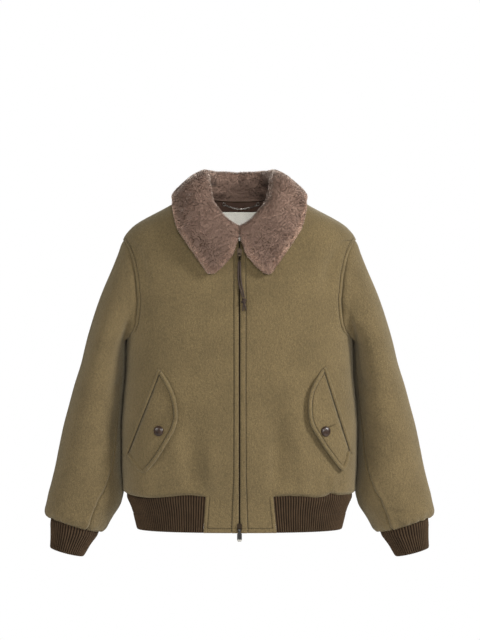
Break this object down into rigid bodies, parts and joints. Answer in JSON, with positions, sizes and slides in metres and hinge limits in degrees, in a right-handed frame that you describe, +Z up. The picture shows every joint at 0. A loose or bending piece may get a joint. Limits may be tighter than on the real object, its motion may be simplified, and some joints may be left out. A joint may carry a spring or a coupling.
{
  "type": "wool jacket with a fur collar",
  "caption": "Short hip-length jacket, filled out as if worn: wide turned-down fur collar, two-way front zip, slanted flap pockets, long sleeves, ribbed hem and cuffs.",
  "frame": {"origin": "between the shoulders of the hollow body, 640 mm above the hem, where the wearer carries the jacket", "axes": "+Z up, -Y towards the zipped front, +X towards the wearer's left"},
  "size_m": [0.7732, 0.2564, 0.7719],
  "materials": {
    "back": "brushed olive-brown wool melton, matt",
    "front_left": "brushed olive-brown wool melton, matt",
    "front_right": "brushed olive-brown wool melton, matt",
    "sleeve_top_left": "brushed olive-brown wool melton, matt",
    "sleeve_top_right": "brushed olive-brown wool melton, matt",
    "sleeve_under_left": "brushed olive-brown wool melton, matt",
    "sleeve_under_right": "brushed olive-brown wool melton, matt",
    "hem_band": "dark brown rib knit, matt",
    "cuff_left": "dark brown rib knit, matt",
    "cuff_right": "dark brown rib knit, matt",
    "under_collar": "brushed olive-brown wool melton, matt",
    "collar_fur": "sheared taupe fur with paler tips",
    "neck_facing": "dark brown twill",
    "neck_label": "cream satin, left bare",
    "hanger_chain": "bright steel",
    "chain_ring_left": "bright steel",
    "chain_ring_right": "bright steel",
    "pocket_welt_left": "brushed olive-brown wool melton, matt",
    "pocket_welt_right": "brushed olive-brown wool melton, matt",
    "pocket_flap_left": "brushed olive-brown wool melton, matt",
    "pocket_flap_right": "brushed olive-brown wool melton, matt",
    "pocket_button_left": "dark brown leather",
    "pocket_button_right": "dark brown leather",
    "zip_tape_left": "dark brown twill",
    "zip_tape_right": "dark brown twill",
    "zip_teeth": "dark antique bronze",
    "slider_top": "dark antique bronze",
    "slider_link": "dark antique bronze",
    "slider_bottom": "dark antique bronze",
    "thong_left": "dark brown leather",
    "thong_right": "dark brown leather",
    "thong_knot": "dark brown leather",
    "pull_tab": "dark antique bronze"
  },
  "bodies": {
    "jacket": {"back": "back", "front_left": "front_left", "front_right": "front_right", "sleeve_top_left": "sleeve_top_left", "sleeve_top_right": "sleeve_top_right", "sleeve_under_left": "sleeve_under_left", "sleeve_under_right": "sleeve_under_right", "hem_band": "hem_band", "cuff_left": "cuff_left", "cuff_right": "cuff_right", "under_collar": "under_collar", "collar_fur": "collar_fur", "neck_facing": "neck_facing", "neck_label": "neck_label", "hanger_chain": "hanger_chain", "chain_ring_left": "chain_ring_left", "chain_ring_right": "chain_ring_right", "pocket_welt_left": "pocket_welt_left", "pocket_welt_right": "pocket_welt_right", "pocket_flap_left": "pocket_flap_left", "pocket_flap_right": "pocket_flap_right", "pocket_button_left": "pocket_button_left", "pocket_button_right": "pocket_button_right", "zip_tape_left": "zip_tape_left", "zip_tape_right": "zip_tape_right", "zip_teeth": "zip_teeth", "slider_top": "slider_top", "slider_link": "slider_link", "slider_bottom": "slider_bottom", "thong_left": "thong_left", "thong_right": "thong_right", "thong_knot": "thong_knot"},
    "pull_tab": {"pull_tab": "pull_tab"}
  },
  "joints": [
    {"name": "pull_tab_hinge", "type": "hinge", "parent": "jacket", "child": "pull_tab", "pos_m": [0, -0.10698, -0.63299], "axis": [-1, 0, 0], "range_deg": [0, 170]}
  ]
}
